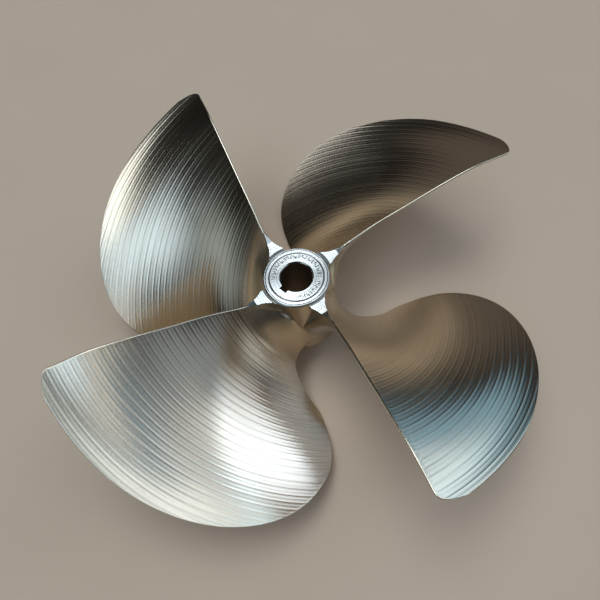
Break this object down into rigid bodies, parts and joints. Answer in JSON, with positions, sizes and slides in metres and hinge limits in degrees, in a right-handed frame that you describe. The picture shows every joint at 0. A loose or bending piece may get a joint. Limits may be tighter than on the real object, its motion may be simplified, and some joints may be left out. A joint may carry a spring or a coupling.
{
  "type": "boat propeller",
  "caption": "Left-hand inboard boat propeller cast in one piece, with wide skewed blades, a taper shaft bore and a keyway, machined all over.",
  "frame": {"origin": "on the floor, on the shaft axis, under the middle of the bounding box", "axes": "+Z along the shaft axis towards the stern, which is the small end of the taper bore; the keyway lies towards -X and -Y"},
  "size_m": [0.3398, 0.3398, 0.1195],
  "materials": {
    "bronze": "machined"
  },
  "bodies": {
    "root": {"propeller": "bronze"}
  },
  "joints": []
}
